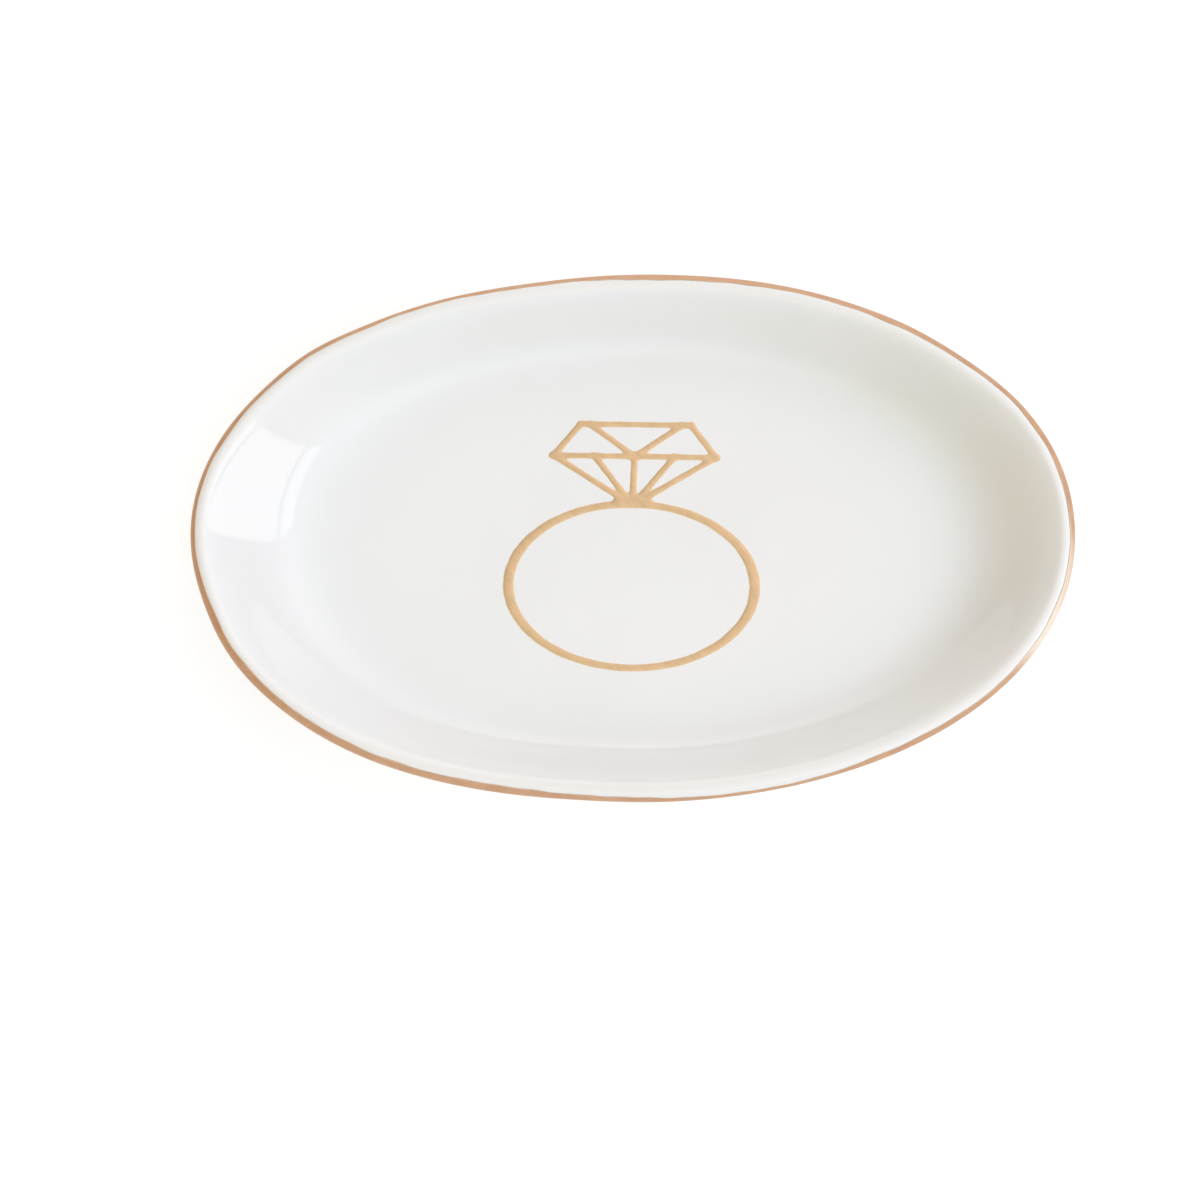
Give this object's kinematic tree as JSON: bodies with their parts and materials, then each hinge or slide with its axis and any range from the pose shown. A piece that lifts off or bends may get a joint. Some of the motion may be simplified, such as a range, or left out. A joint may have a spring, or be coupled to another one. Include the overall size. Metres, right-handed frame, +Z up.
{
  "type": "ring dish",
  "caption": "Shallow oval glazed porcelain dish on a foot ring, with a gilded lip and a gold gem ring drawn in its well; holds rings and small jewellery.",
  "frame": {"origin": "on the table, under the middle of the dish", "axes": "+X along the dish's length, +Y across it towards the gem of the drawing, +Z up"},
  "size_m": [0.12, 0.073, 0.014],
  "materials": {
    "bare_porcelain": "matt, unglazed and ground",
    "white_glaze": "gloss",
    "base_glaze": "gloss",
    "rim_gold": "burnished gold lustre",
    "drawing_gold": "satin gold lustre"
  },
  "bodies": {
    "root": {"porcelain_body": "bare_porcelain", "glaze_coat": "white_glaze", "glaze_base": "base_glaze", "rim_gilding": "rim_gold", "emblem_band": "drawing_gold", "emblem_setting": "drawing_gold", "emblem_gem_outline": "drawing_gold", "emblem_gem_facets": "drawing_gold"}
  },
  "joints": []
}
